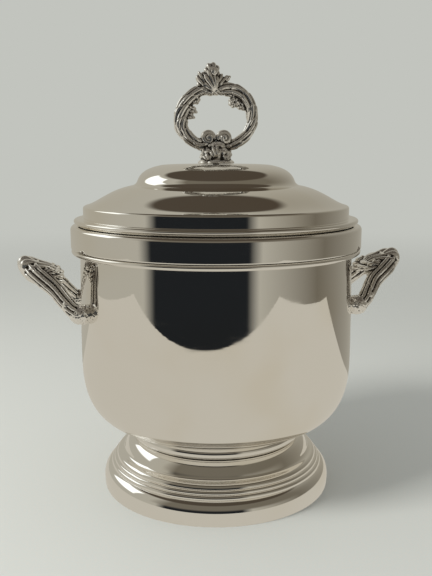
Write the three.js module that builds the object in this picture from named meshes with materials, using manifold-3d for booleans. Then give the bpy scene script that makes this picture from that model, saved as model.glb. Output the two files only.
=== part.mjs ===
// Silver-plated ice bucket on a spun pedestal foot, with a lift-out glass liner, a lift-off lid
// with a cast ring finial, and two cast loop handles.
// Millimetres, +Z up. The origin is the centre of the base, and the handles lie along X.

import * as THREE from 'three';
import { mergeVertices } from 'three/addons/utils/BufferGeometryUtils.js';
import Module from 'manifold-3d';

// ---------- driving dimensions ----------

const SEGMENTS = 32;              // facets round every large turned piece
const ARC_STEPS = 2;              // facets in each curved stretch of an outline
const GAP = 0.3;                  // clearance kept between touching pieces

const BOWL_RADIUS = 83.4;         // widest radius of the bowl
const BOWL_LIP_RADIUS = 82.4;     // radius at the top edge, hidden in the collar
const BOWL_FLOOR = 39.9;          // underside of the bowl
const BOWL_TOP = 153.7;
const BOWL_WALL = 1.4;
const CORNER_TOP = 87.5;          // height at which the wall starts to turn in to the floor
const CORNER_WIDTH = 42.3;
const CORNER_POWER = 2.9;         // exponent of the superellipse in the lower corner
const CORNER_STEPS = 6;

const FOOT_RADIUS = 71.2;         // widest radius of the foot's rolled rim
const FOOT_TOP = 31.9;
const FOOT_PLATE = 1.7;           // thickness of the foot's top plate
const NECK_RADIUS = 54.2;

const COLLAR_RADIUS = 88;
const COLLAR_BOTTOM = 150.7;
const COLLAR_TOP = 164;
const COLLAR_BORE = 81.5;
const LEDGE_TOP = 158.2;          // ledge in the collar that the liner hangs from
const LEDGE_BORE = 78.2;
const BEAD_RADIUS = 1.55;

const LINER_RADIUS = 74;
const LINER_WALL = 3;
const LINER_FLOOR = 50;
const LINER_CORNER = 14;
const LINER_TOP = 162.6;
const FLANGE_BOTTOM = 159.9;

const LID_SEAT = 164.4;           // underside of the lid, just above the collar
const LID_BAND_RADIUS = 80.3;
const LID_LIP_RADIUS = 85.9;
const LID_TOP = 199.8;
const LID_SKIN = 1.6;
const PAN_BOTTOM = 163.2;         // underside of the dish that closes the lid
const PAN_SKIN = 1.2;
const PAN_PLUG_RADIUS = 70;       // the part of the dish that drops into the liner's mouth

const FINIAL_BASE = 200.1;
const FINIAL_TOP = 259.4;
const RING_HALF_WIDTH = 24.25;    // finial ring, outside
const RING_HALF_HEIGHT = 18.2;
const RING_CENTRE = 226.2;
const RING_TUBE = 4.1;

const HANDLE_REACH = 120.5;       // furthest point of each handle from the axis
const HANDLE_TUBE = 4.4;
const ROOT_HALF_SPAN = 25;        // half the distance between one handle's two roots
const ROOT_HEIGHT = 115.5;
const LEAF_HEIGHT = 138.4;        // centre of the leaf at the outer end of each loop
const LEAF_TILT = THREE.MathUtils.degToRad(22);
const LEAF_HALF_SIZES = [11.5, 13, 7];    // outwards, sideways and thick

const BOLT_RADIUS = 3.9;
const BOLT_HOLE = 4.3;
const BOLT_END = 21;              // height of the bolt's lower end
const SCREW_RADIUS = 2.2;
const SCREW_HOLE = 2.6;
const WASHER_THICKNESS = 1.6;
const FOOT_WASHER_TOP = FOOT_TOP - FOOT_PLATE - GAP;
const FINIAL_WASHER_TOP = LID_TOP - LID_SKIN - GAP;

// ---------- materials ----------

const finish = (color, roughness, metalness) =>
    new THREE.MeshStandardMaterial({ color, roughness, metalness });

const silverPlate = () => finish(0xd8d5cd, 0.12, 1);
const castSilver = () => finish(0xb9b4a8, 0.28, 1);
const brightSteel = () => finish(0xc3c5c8, 0.3, 1);
const clearGlass = () => finish(0xdfe8e6, 0.05, 0);
const blackRubber = () => finish(0x24231f, 0.8, 0);
const paleFoam = () => finish(0xe9e2cf, 0.95, 0);
const cork = () => finish(0xb98d5d, 0.9, 0);

// ---------- helpers ----------

const wasm = await Module();
wasm.setup();

const object = new THREE.Group();

function addPiece(name, geometry, material, turn = 0) {
    const mesh = new THREE.Mesh(geometry, material);
    mesh.name = name;
    mesh.rotation.z = turn;
    object.add(mesh);
}

// A closed outline in (radius, height), turned about +Z.
function turned(points) {
    const geometry = new THREE.LatheGeometry(points, SEGMENTS);
    geometry.rotateX(Math.PI / 2);
    return facingOut(geometry);
}

// Merges the shared corners and turns the faces outwards if the outline ran the other way.
function facingOut(geometry) {
    geometry.deleteAttribute('normal');
    geometry.deleteAttribute('uv');
    const merged = withoutSlivers(mergeVertices(geometry, 1e-4));
    if (signedVolume(merged) < 0) {
        const index = merged.index.array;
        for (let i = 0; i < index.length; i += 3) {
            [index[i + 1], index[i + 2]] = [index[i + 2], index[i + 1]];
        }
    }
    merged.computeVertexNormals();
    return merged;
}

// Drops the empty triangles that a turned outline has where it meets the axis.
function withoutSlivers(geometry) {
    const index = geometry.index.array;
    const kept = [];
    for (let i = 0; i < index.length; i += 3) {
        const [a, b, c] = index.slice(i, i + 3);
        if (a !== b && b !== c && c !== a) {
            kept.push(a, b, c);
        }
    }
    geometry.setIndex(kept);
    return geometry;
}

function signedVolume(geometry) {
    const position = geometry.attributes.position;
    const index = geometry.index.array;
    const corner = [new THREE.Vector3(), new THREE.Vector3(), new THREE.Vector3()];
    let volume = 0;
    for (let i = 0; i < index.length; i += 3) {
        corner.forEach((point, k) => point.fromBufferAttribute(position, index[i + k]));
        volume += corner[0].dot(corner[1].cross(corner[2])) / 6;
    }
    return volume;
}

function toSolid(geometry) {
    const closed = facingOut(geometry);
    return new wasm.Manifold(new wasm.Mesh({
        numProp: 3,
        vertProperties: new Float32Array(closed.attributes.position.array),
        triVerts: new Uint32Array(closed.index.array),
    }));
}

function toGeometry(solid) {
    const mesh = solid.getMesh();
    const positions = new THREE.BufferAttribute(new Float32Array(mesh.vertProperties), 3);
    const corners = new THREE.BufferAttribute(new Uint32Array(mesh.triVerts), 1);
    const geometry = new THREE.BufferGeometry();
    geometry.setAttribute('position', positions);
    geometry.setIndex(corners);
    geometry.computeVertexNormals();
    return geometry;
}

// An upright round or six-sided bar between two heights.
function bar(radius, bottom, top, sides = 24) {
    const geometry = new THREE.CylinderGeometry(radius, radius, top - bottom, sides);
    geometry.rotateX(Math.PI / 2);
    geometry.translate(0, 0, (top + bottom) / 2);
    return geometry;
}

// A sphere stretched to three half-sizes, turned about Y and moved to its place.
function ellipsoid(halfSizes, centre, tilt = 0, around = 12, down = 8) {
    const geometry = new THREE.SphereGeometry(1, around, down);
    geometry.scale(...halfSizes);
    geometry.rotateY(-tilt);
    geometry.translate(...centre);
    return geometry;
}

// A flat washer or a sleeve: a ring with a round bore.
function ring(inner, outer, bottom, top) {
    const outline = new THREE.Path();
    outline.moveTo(inner, bottom);
    outline.lineTo(outer, bottom);
    outline.lineTo(outer, top);
    outline.lineTo(inner, top);
    outline.lineTo(inner, bottom);
    return turned(outline.getPoints(ARC_STEPS));
}

function washer(bore, radius, top) {
    return ring(bore, radius, top - WASHER_THICKNESS, top);
}

// ---------- bowl ----------

// The bowl's outline from the floor to the top edge, moved inwards by a thickness.
// A superellipse joins the flat floor to the nearly upright wall.
function bowlOutline(inset) {
    const radius = BOWL_RADIUS - inset;
    const height = CORNER_TOP - BOWL_FLOOR - inset;
    const points = [];
    for (let i = 0; i <= CORNER_STEPS; i += 1) {
        const angle = (Math.PI / 2) * (1 - i / CORNER_STEPS);
        const across = Math.abs(Math.cos(angle)) ** (2 / CORNER_POWER);
        const down = Math.sin(angle) ** (2 / CORNER_POWER);
        points.push(new THREE.Vector2(
            radius - CORNER_WIDTH * (1 - across),
            CORNER_TOP - height * down,
        ));
    }
    points.push(new THREE.Vector2(BOWL_LIP_RADIUS - inset, BOWL_TOP));
    return points;
}

function outerShell() {
    const outside = bowlOutline(0);
    const inside = bowlOutline(BOWL_WALL).reverse();
    const hole = [
        new THREE.Vector2(BOLT_HOLE, BOWL_FLOOR + BOWL_WALL),
        new THREE.Vector2(BOLT_HOLE, BOWL_FLOOR),
    ];
    return turned([hole[1], ...outside, ...inside, ...hole]);
}

// The space that the bowl fills, with the clearance round it. Pieces on the wall are cut by it.
function bowlSpace() {
    const outline = bowlOutline(-GAP);
    const bottom = new THREE.Vector2(0, outline[0].y);
    const top = new THREE.Vector2(0, BOWL_TOP);
    return toSolid(turned([bottom, ...outline, top]));
}

// ---------- foot ----------

function neckRing() {
    const bore = 45;
    const bulge = NECK_RADIUS + 1;
    const bottom = FOOT_TOP + GAP;
    const top = BOWL_FLOOR - 0.4;
    const outline = new THREE.Path();
    outline.moveTo(bore, bottom);
    outline.lineTo(NECK_RADIUS - 1.8, bottom);
    outline.bezierCurveTo(bulge, bottom + 0.8, bulge - 0.6, top - 1.1, NECK_RADIUS - 3.8, top);
    outline.lineTo(bore, top);
    outline.lineTo(bore, bottom);
    return turned(outline.getPoints(4));
}

function foot() {
    const outline = new THREE.Path();
    outline.moveTo(BOLT_HOLE, FOOT_TOP);
    outline.lineTo(52.4, FOOT_TOP);
    outline.quadraticCurveTo(57.8, 31.4, 58, 27.2);           // rounded shoulder
    outline.quadraticCurveTo(58.3, 22.6, 62.2, 21.2);         // hollow below it
    outline.absarc(62.7, 19.7, 1.45, Math.PI / 2, -1.2, true);    // upper ridge
    outline.absarc(63.8, 16.3, 1.6, 1.3, -1.3, true);             // lower ridge
    outline.lineTo(65.2, 13.9);
    outline.bezierCurveTo(69.6, 13.9, FOOT_RADIUS, 10.4, FOOT_RADIUS, 6);
    outline.quadraticCurveTo(FOOT_RADIUS, 1.4, 69.6, 0);      // rolled rim
    outline.lineTo(66.4, 0);                                  // flat ring that the bucket stands on
    outline.lineTo(67.4, 5);
    outline.quadraticCurveTo(67.4, 11.6, 61.8, 12.6);
    outline.lineTo(60.4, 18.4);
    outline.quadraticCurveTo(55.6, 21, 55.4, 27);
    outline.lineTo(51.6, FOOT_TOP - FOOT_PLATE);
    outline.lineTo(BOLT_HOLE, FOOT_TOP - FOOT_PLATE);
    outline.lineTo(BOLT_HOLE, FOOT_TOP);
    return turned(outline.getPoints(ARC_STEPS));
}

// A hexagon-head bolt through the bowl's floor, the neck ring and the foot.
function footBolt() {
    const headBottom = BOWL_FLOOR + BOWL_WALL + GAP;
    const head = toSolid(bar(6.5, headBottom, headBottom + 4, 6));
    const shank = toSolid(bar(BOLT_RADIUS, BOLT_END, headBottom + 1));
    return toGeometry(head.add(shank));
}

function footNut() {
    const top = FOOT_WASHER_TOP - WASHER_THICKNESS - GAP;
    const body = toSolid(bar(7.2, top - 5.5, top, 6));
    const bore = toSolid(bar(BOLT_RADIUS + GAP, top - 7, top + 1));
    return toGeometry(body.subtract(bore));
}

// ---------- collar, liner and insulation ----------

function rimCollar() {
    const edge = 2.4;             // radius of the rounded top edge
    const skirt = 2.6;            // thickness of the band below the web
    const webBottom = BOWL_TOP + GAP;
    const outline = new THREE.Path();
    outline.moveTo(LEDGE_BORE, webBottom);
    outline.lineTo(COLLAR_RADIUS - skirt, webBottom);
    outline.lineTo(COLLAR_RADIUS - skirt, COLLAR_BOTTOM);
    outline.lineTo(COLLAR_RADIUS, COLLAR_BOTTOM);
    outline.lineTo(COLLAR_RADIUS, COLLAR_TOP - edge);
    outline.absarc(COLLAR_RADIUS - edge, COLLAR_TOP - edge, edge, 0, Math.PI / 2, false);
    outline.lineTo(COLLAR_BORE, COLLAR_TOP);
    outline.lineTo(COLLAR_BORE, LEDGE_TOP);
    outline.lineTo(LEDGE_BORE, LEDGE_TOP);
    outline.lineTo(LEDGE_BORE, webBottom);
    return turned(outline.getPoints(ARC_STEPS));
}

// A half-round wire under the collar.
function collarBead() {
    const inner = BOWL_LIP_RADIUS + 0.7;
    const centre = COLLAR_RADIUS - 0.25 - BEAD_RADIUS;
    const height = COLLAR_BOTTOM - GAP - BEAD_RADIUS;
    const outline = new THREE.Path();
    outline.moveTo(inner, height - BEAD_RADIUS);
    outline.lineTo(centre, height - BEAD_RADIUS);
    outline.absarc(centre, height, BEAD_RADIUS, -Math.PI / 2, Math.PI / 2, false);
    outline.lineTo(inner, height + BEAD_RADIUS);
    outline.lineTo(inner, height - BEAD_RADIUS);
    return turned(outline.getPoints(ARC_STEPS));
}

function liner() {
    const cornerCentre = LINER_RADIUS - LINER_CORNER;
    const cornerHeight = LINER_FLOOR + LINER_CORNER;
    const flangeRadius = COLLAR_BORE - 0.7;
    const outline = new THREE.Path();
    outline.moveTo(0, LINER_FLOOR);
    outline.lineTo(cornerCentre, LINER_FLOOR);
    outline.absarc(cornerCentre, cornerHeight, LINER_CORNER, -Math.PI / 2, 0, false);
    outline.lineTo(LINER_RADIUS, FLANGE_BOTTOM);
    outline.lineTo(flangeRadius, FLANGE_BOTTOM);
    outline.lineTo(flangeRadius, LINER_TOP);
    outline.lineTo(LINER_RADIUS - LINER_WALL, LINER_TOP);
    outline.lineTo(LINER_RADIUS - LINER_WALL, cornerHeight);
    outline.absarc(cornerCentre, cornerHeight, LINER_CORNER - LINER_WALL, 0, -Math.PI / 2, true);
    outline.lineTo(0, LINER_FLOOR + LINER_WALL);
    return turned(outline.getPoints(ARC_STEPS));
}

function insulationBase() {
    const top = LINER_FLOOR - 0.4;
    const bottom = 43.9;
    const bore = 17;              // clears the bolt's head
    const radius = 62;
    const outline = new THREE.Path();
    outline.moveTo(bore, bottom);
    outline.lineTo(radius - 7, bottom);
    outline.lineTo(radius, bottom + 2.5);
    outline.lineTo(radius, top);
    outline.lineTo(bore, top);
    outline.lineTo(bore, bottom);
    return turned(outline.getPoints(ARC_STEPS));
}

// ---------- lid ----------

function lidShell() {
    const lip = 1.25;
    const inner = LID_BAND_RADIUS - LID_SKIN;
    const outline = new THREE.Path();
    outline.moveTo(COLLAR_BORE + 0.1, LID_SEAT);
    outline.lineTo(84, LID_SEAT);
    outline.lineTo(LID_LIP_RADIUS - lip, LID_SEAT + 0.9);
    outline.absarc(LID_LIP_RADIUS - lip, LID_SEAT + 0.9 + lip, lip, -Math.PI / 2, Math.PI / 2, false);
    outline.lineTo(LID_BAND_RADIUS, LID_SEAT + 3.4);
    outline.lineTo(LID_BAND_RADIUS, 173.8);
    outline.quadraticCurveTo(LID_BAND_RADIUS, 175, 79, 175.3);    // crisp shoulder
    outline.bezierCurveTo(71, 177.4, 65, 184.6, 50.6, 187.1);     // soft double curve
    outline.quadraticCurveTo(47.6, 188.4, 46.8, 193);             // hollow under the cap
    outline.quadraticCurveTo(45.4, 198.2, 36.6, 199.3);           // rounded cap
    outline.lineTo(22, LID_TOP);
    outline.lineTo(SCREW_HOLE, LID_TOP);
    outline.lineTo(SCREW_HOLE, LID_TOP - LID_SKIN);
    outline.lineTo(34, LID_TOP - LID_SKIN - 0.8);
    outline.quadraticCurveTo(43, 196.4, 44.2, 192);
    outline.quadraticCurveTo(45.4, 187.4, 49.8, 185.5);
    outline.bezierCurveTo(64, 182.8, 70, 175.8, inner - 0.4, 173.4);
    outline.lineTo(inner, 172.6);
    outline.lineTo(inner, LID_SEAT + 2);
    outline.lineTo(COLLAR_BORE + 0.1, LID_SEAT + 1.6);
    outline.lineTo(COLLAR_BORE + 0.1, LID_SEAT);
    return turned(outline.getPoints(ARC_STEPS));
}

// A shallow dish that closes the underside of the lid. Its middle drops into the liner's mouth.
function lidPan() {
    const radius = LID_BAND_RADIUS - LID_SKIN - GAP;
    const shoulder = LID_SEAT + 0.1;
    const rim = 168.4;
    const outline = new THREE.Path();
    outline.moveTo(0, PAN_BOTTOM);
    outline.lineTo(PAN_PLUG_RADIUS, PAN_BOTTOM);
    outline.lineTo(radius, shoulder);
    outline.lineTo(radius, rim);
    outline.lineTo(radius - PAN_SKIN, rim);
    outline.lineTo(radius - PAN_SKIN, shoulder + PAN_SKIN);
    outline.lineTo(PAN_PLUG_RADIUS, PAN_BOTTOM + PAN_SKIN);
    outline.lineTo(0, PAN_BOTTOM + PAN_SKIN);
    return turned(outline.getPoints(ARC_STEPS));
}

function lidInsulation() {
    const bottom = LID_SEAT + 1.5;
    const top = 183;
    const outline = new THREE.Path();
    outline.moveTo(0, bottom);
    outline.lineTo(75, bottom);
    outline.lineTo(75, 171.6);
    outline.lineTo(48, top);
    outline.lineTo(0, top);
    return turned(outline.getPoints(ARC_STEPS));
}

// ---------- finial ----------

// A cast ring on a leaf cup, with two scrolls inside its foot and a leaf crest on top.
function finial() {
    const neck = RING_CENTRE - RING_HALF_HEIGHT;
    const cup = new THREE.Path();
    cup.moveTo(0, FINIAL_BASE);
    cup.lineTo(10.8, FINIAL_BASE);
    cup.quadraticCurveTo(11.4, FINIAL_BASE + 2.4, 8.4, FINIAL_BASE + 5.2);
    cup.lineTo(7.4, neck + 2.4);
    cup.lineTo(0, neck + 2.4);

    const centreRadius = RING_HALF_WIDTH - RING_TUBE;
    const loop = new THREE.TorusGeometry(centreRadius, RING_TUBE, 8, 24);
    loop.scale(1, RING_HALF_HEIGHT / RING_HALF_WIDTH, 1);     // wider than it is high
    loop.rotateX(Math.PI / 2);
    loop.translate(0, 0, RING_CENTRE);

    const crestHalf = (FINIAL_TOP - RING_CENTRE - RING_HALF_HEIGHT + 3) / 2;
    const crest = ellipsoid([8.6, 3.6, crestHalf], [-1.6, 0, FINIAL_TOP - crestHalf]);

    let casting = toSolid(turned(cup.getPoints(ARC_STEPS)));
    casting = casting.add(toSolid(loop)).add(toSolid(crest));
    for (const side of [-1, 1]) {
        const scroll = ellipsoid([4.2, 3.4, 4.2], [side * 4.8, 0, neck + 7.2], 0, 10, 6);
        casting = casting.add(toSolid(scroll));
    }
    const screwHole = toSolid(bar(SCREW_HOLE, FINIAL_BASE - 1, neck - 1, 16));
    return toGeometry(casting.subtract(screwHole));
}

function finialScrew() {
    const headTop = FINIAL_WASHER_TOP - WASHER_THICKNESS - GAP;
    const head = toSolid(bar(5, headTop - 3, headTop));
    const shank = toSolid(bar(SCREW_RADIUS, headTop - 1, FINIAL_BASE + 6, 16));
    return toGeometry(head.add(shank));
}

// ---------- handles ----------

// One loop: two arms that leave the wall level, rise and meet under a broad leaf at the outer end.
function handle() {
    const arm = [
        [79, ROOT_HALF_SPAN - 0.5, ROOT_HEIGHT - 0.5],
        [86.5, ROOT_HALF_SPAN, ROOT_HEIGHT + 1],
        [91.5, ROOT_HALF_SPAN - 3.5, ROOT_HEIGHT + 6],
        [97, ROOT_HALF_SPAN - 8, ROOT_HEIGHT + 12.5],
        [104, ROOT_HALF_SPAN - 11, ROOT_HEIGHT + 18.5],
        [109.5, ROOT_HALF_SPAN - 17, ROOT_HEIGHT + 22],
    ];
    const middle = [111, 0, LEAF_HEIGHT];
    const mirrored = arm.map(([x, y, z]) => [x, -y, z]).reverse();
    const points = [...arm, middle, ...mirrored].map((point) => new THREE.Vector3(...point));
    const section = new THREE.Shape();
    section.absarc(0, 0, HANDLE_TUBE, 0, 2 * Math.PI, false);
    const loop = new THREE.ExtrudeGeometry(section, {
        extrudePath: new THREE.CatmullRomCurve3(points),
        steps: 22,
        curveSegments: 4,
        bevelEnabled: false,
    });

    const [along, across, thick] = LEAF_HALF_SIZES;
    const reach = Math.hypot(along * Math.cos(LEAF_TILT), thick * Math.sin(LEAF_TILT));
    const leafCentre = [HANDLE_REACH - reach, 0, LEAF_HEIGHT];
    const leaf = ellipsoid([along, across, thick], leafCentre, LEAF_TILT);

    let casting = toSolid(loop).add(toSolid(leaf));
    for (const side of [-1, 1]) {
        const bossCentre = [83, side * ROOT_HALF_SPAN, ROOT_HEIGHT - 0.5];
        const boss = ellipsoid([7, 6.5, 6.5], bossCentre, 0, 10, 6);
        casting = casting.add(toSolid(boss));
    }
    return toGeometry(casting.subtract(bowlSpace()));
}

// ---------- assembly ----------

const sleeve = ring(LINER_RADIUS + 0.6, 80.2, 71, BOWL_TOP - 0.1);
const gasket = ring(LEDGE_BORE + GAP, COLLAR_BORE - GAP, LEDGE_TOP + GAP, FLANGE_BOTTOM - GAP);

addPiece('outer_shell', outerShell(), silverPlate());
addPiece('rim_collar', rimCollar(), silverPlate());
addPiece('collar_bead', collarBead(), silverPlate());
addPiece('neck_ring', neckRing(), silverPlate());
addPiece('foot', foot(), silverPlate());
addPiece('foot_bolt', footBolt(), brightSteel());
addPiece('foot_washer', washer(BOLT_HOLE, 11, FOOT_WASHER_TOP), brightSteel());
addPiece('foot_nut', footNut(), brightSteel());
addPiece('insulation_sleeve', sleeve, paleFoam());
addPiece('insulation_base', insulationBase(), cork());

for (const [name, turn] of [['right', 0], ['left', Math.PI]]) {
    addPiece(`handle_${name}`, handle(), castSilver(), turn);
}

addPiece('liner', liner(), clearGlass());
addPiece('liner_gasket', gasket, blackRubber());

addPiece('lid_shell', lidShell(), silverPlate());
addPiece('lid_inner_pan', lidPan(), silverPlate());
addPiece('lid_insulation', lidInsulation(), paleFoam());
addPiece('finial', finial(), castSilver());
addPiece('finial_washer', washer(SCREW_HOLE, 8, FINIAL_WASHER_TOP), brightSteel());
addPiece('finial_screw', finialScrew(), brightSteel());

export default object;
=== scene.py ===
"""The fine surfaces and finishes of a silver-plated ice bucket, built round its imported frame.

Lengths in the surface functions are millimetres and become metres when a mesh is made. +Z is up,
the origin is the centre of the base, and the handles lie along X.
"""

import bpy
import numpy as np
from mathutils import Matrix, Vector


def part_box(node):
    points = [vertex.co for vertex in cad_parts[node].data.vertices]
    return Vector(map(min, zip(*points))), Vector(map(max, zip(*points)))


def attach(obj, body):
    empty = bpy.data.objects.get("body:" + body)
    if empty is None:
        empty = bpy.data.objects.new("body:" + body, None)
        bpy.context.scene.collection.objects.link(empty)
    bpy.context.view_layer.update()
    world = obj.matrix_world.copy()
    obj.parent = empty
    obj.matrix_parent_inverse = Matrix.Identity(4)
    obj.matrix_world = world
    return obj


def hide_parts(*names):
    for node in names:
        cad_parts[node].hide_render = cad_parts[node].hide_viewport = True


bl_info = {
    "name": "Silver Ice Bucket",
    "version": (1, 0, 0),
    "blender": (4, 5, 0),
    "location": "3D View > Sidebar > Ice Bucket",
    "description": "Makes a silver-plated ice bucket with cast handles round its packed frame",
    "category": "Add Mesh",
}

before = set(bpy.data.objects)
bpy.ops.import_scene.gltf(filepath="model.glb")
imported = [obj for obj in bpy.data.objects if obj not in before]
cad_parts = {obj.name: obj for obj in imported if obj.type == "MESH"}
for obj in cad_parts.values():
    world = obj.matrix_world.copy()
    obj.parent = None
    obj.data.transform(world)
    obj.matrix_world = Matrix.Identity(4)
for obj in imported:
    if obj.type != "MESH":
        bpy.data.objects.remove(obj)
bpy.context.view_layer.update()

MM = 0.001
FULL_TURN = 2 * np.pi


# ---------- colour and frame values ----------


def linear(hex_colour):
    """Turns an sRGB hex colour into linear red, green and blue."""
    values = np.array([int(hex_colour[i : i + 2], 16) for i in (1, 3, 5)]) / 255
    curved = ((values + 0.055) / 1.055) ** 2.4
    return tuple(np.where(values <= 0.04045, values / 12.92, curved))


def extent(node):
    """The radius, lowest and highest point of a turned CAD node, in millimetres."""
    low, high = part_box(node)
    return high.x / MM, low.z / MM, high.z / MM


# ---------- sizes and colours that a user would change ----------


def colour_property(name, description, hex_colour):
    """A setting that holds a colour, given in hexadecimal."""
    return bpy.props.FloatVectorProperty(
        name=name, description=description, subtype="COLOR", size=3, min=0, max=1,
        default=linear(hex_colour),
    )


def length_property(name, description, millimetres):
    """A setting that holds a length, given in millimetres."""
    return bpy.props.FloatProperty(
        name=name, description=description, unit="LENGTH", min=0, precision=5,
        default=millimetres * MM,
    )


class IceBucketSizes(bpy.types.PropertyGroup):
    segments: bpy.props.IntProperty(
        name="Facets", description="Facets round a turned piece", default=192, min=24, max=384,
    )
    outline_step: length_property(
        "Outline step", "Longest stretch between two points of a turned outline", 2.0,
    )
    edge_radius: length_property(
        "Edge radius", "Rounding of the crisp edges of the sheet metal", 0.35,
    )
    bowl_wall: length_property("Bowl wall", "Thickness of the bowl's metal", 1.4)
    unevenness: length_property(
        "Unevenness", "How far the spun metal strays from a true round", 0.03,
    )
    casting_voxel: length_property(
        "Casting voxel", "Size of the cells that fuse the cast pieces", 0.32,
    )
    camera_turn: bpy.props.FloatProperty(
        name="Camera turn", description="Angle of the camera round the bucket", subtype="ANGLE",
        default=np.radians(10.0),
    )


class IceBucketColours(bpy.types.PropertyGroup):
    silver: colour_property("Silver", "Clean plated silver", "#f4f2ee")
    warm_silver: colour_property("Warm silver", "Plate where it has begun to yellow", "#ebe3d3")
    oxide: colour_property("Oxide", "Dark tarnish left in the hollows of the castings", "#2a231b")
    zinc: colour_property("Zinc", "Zinc plating on the fasteners", "#c4c8cc")
    glass: colour_property("Glass", "Pressed glass of the liner", "#f1f8f5")
    rubber: colour_property("Rubber", "Black seal under the liner's flange", "#1d1c1a")
    foam: colour_property("Foam", "Pale insulation", "#e8e0cc")
    cork: colour_property("Cork", "Cork disc under the liner", "#b88a58")
    floor: colour_property("Floor", "Pale table top", "#d6dad7")
    backdrop: colour_property("Backdrop", "Plain wall", "#c2c4be")


# ---------- surfaces ----------


def bezier(controls, steps=16):
    """A Bezier curve of any degree: neighbouring points are blended again and again."""
    share = np.linspace(0, 1, steps)[:, None]
    rows = [np.asarray(point, float) for point in controls]
    while len(rows) > 1:
        rows = [(1 - share) * a + share * b for a, b in zip(rows, rows[1:])]
    return rows[0]


def arc(centre, radius, start, end, steps=12):
    """Part of a circle, from one angle to another in degrees."""
    angle = np.radians(np.linspace(start, end, steps))
    return np.asarray(centre) + radius * np.column_stack([np.cos(angle), np.sin(angle)])


def smooth_path(points, steps):
    """A smooth line through points: cubics whose slopes come from the neighbouring points."""
    points = np.asarray(points, float)
    slope = np.gradient(points, axis=0)
    place = np.linspace(0, len(points) - 1, steps)
    start = np.minimum(place.astype(int), len(points) - 2)
    t = (place - start)[:, None]
    from_point = (1 + 2 * t) * (1 - t) ** 2 * points[start]
    to_point = t ** 2 * (3 - 2 * t) * points[start + 1]
    leaving = t * (1 - t) ** 2 * slope[start]
    arriving = t ** 2 * (t - 1) * slope[start + 1]
    return from_point + to_point + leaving + arriving


def without_repeats(outline):
    """Drops each point that lies on the one before it in a closed outline."""
    gap = np.linalg.norm(outline - np.roll(outline, 1, axis=0), axis=1)
    return outline[gap > 1e-4]


def soften(outline, radius, steps=7):
    """Rounds the corners of a closed outline.

    A corner that turns by more than 14 degrees becomes the quadratic curve from a point before it
    to a point after it. A guard point on each side keeps the flats beside it flat when shaded.
    """
    outline = without_repeats(outline)
    back = np.roll(outline, 1, axis=0) - outline
    ahead = np.roll(outline, -1, axis=0) - outline
    back_length = np.linalg.norm(back, axis=1)
    ahead_length = np.linalg.norm(ahead, axis=1)
    back /= back_length[:, None]
    ahead /= ahead_length[:, None]
    turn = np.pi - np.arccos(np.clip(np.sum(back * ahead, axis=1), -1, 1))
    sharp = (turn > np.radians(14)) & (outline[:, 0] > 1e-6)
    room = 0.42 * np.minimum(back_length, ahead_length)
    reach = np.where(sharp, np.minimum(radius * np.tan(turn / 2), room), 0)[:, None]
    guard = np.where(sharp, 0.12 * room, 0)[:, None]
    t = np.linspace(0, 1, steps)[None, :, None]
    before = outline + back * reach
    after = outline + ahead * reach
    curve = (
        (1 - t) ** 2 * before[:, None]
        + 2 * t * (1 - t) * outline[:, None]
        + t ** 2 * after[:, None]
    )
    guarded = np.concatenate(
        [(before + back * guard)[:, None], curve, (after + ahead * guard)[:, None]], axis=1,
    )
    return without_repeats(guarded.reshape(-1, 2))


def evened(outline, step):
    """Adds points to a closed outline so that no stretch is longer than step."""
    loop = np.vstack([outline, outline[:1]])
    along = np.concatenate([[0], np.cumsum(np.linalg.norm(np.diff(loop, axis=0), axis=1))])
    extra = np.arange(0, along[-1], step)
    clear = np.min(np.abs(extra[:, None] - along[None, :]), axis=1) > 0.25 * step
    stations = np.sort(np.concatenate([along[:-1], extra[clear]]))
    return np.column_stack([np.interp(stations, along, loop[:, k]) for k in (0, 1)])


def grid_faces(rows, columns, rows_close):
    """Four-sided faces between neighbouring points of a grid whose columns close on themselves."""
    row = np.arange(rows if rows_close else rows - 1)[:, None]
    column = np.arange(columns)[None, :]
    next_row = (row + 1) % rows
    next_column = (column + 1) % columns
    corners = np.broadcast_arrays(
        row * columns + column,
        next_row * columns + column,
        next_row * columns + next_column,
        row * columns + next_column,
    )
    return np.stack(corners, axis=-1).reshape(-1, 4)


def welded(points, faces):
    """Merges points that coincide, as at a pole, and returns points, quads and triangles."""
    _, first, inverse = np.unique(
        np.round(points, 4) + 0.0, axis=0, return_index=True, return_inverse=True,
    )
    faces = inverse.reshape(-1)[faces]
    repeats = faces == np.roll(faces, -1, axis=1)
    count = repeats.sum(axis=1)
    quads = faces[count == 0]
    pointed = count == 1
    triangles = faces[pointed][~repeats[pointed]].reshape(-1, 3)
    return points[first], quads, triangles


def facing_out(points, quads, triangles):
    """Turns every face round if the volume that the faces enclose comes out negative."""
    halves = np.vstack([quads[:, [0, 1, 2]], quads[:, [0, 2, 3]], triangles])
    a, b, c = (points[halves[:, k]] for k in range(3))
    volume = np.sum(a * np.cross(b, c))
    if volume < 0:
        return quads[:, ::-1], triangles[:, ::-1]
    return quads, triangles


def closed_shell(grid, rows_close):
    """Points and faces of a closed surface from a grid whose columns close on themselves."""
    rows, columns = grid.shape[:2]
    points, quads, triangles = welded(grid.reshape(-1, 3), grid_faces(rows, columns, rows_close))
    quads, triangles = facing_out(points, quads, triangles)
    return points, quads, triangles


def mesh_from(name, points, quads, triangles):
    """A Blender mesh from points in millimetres and two lists of faces."""
    mesh = bpy.data.meshes.new(name)
    mesh.from_pydata((points * MM).tolist(), [], quads.tolist() + triangles.tolist())
    mesh.shade_smooth()
    return mesh


def joined(shells):
    """Stacks several closed shells into one set of points and faces."""
    starts = np.cumsum([0] + [len(points) for points, _, _ in shells[:-1]])
    points = np.vstack([shell[0] for shell in shells])
    quads = np.vstack([shell[1] + start for shell, start in zip(shells, starts)])
    triangles = np.vstack([shell[2] + start for shell, start in zip(shells, starts)])
    return points, quads, triangles


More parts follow.
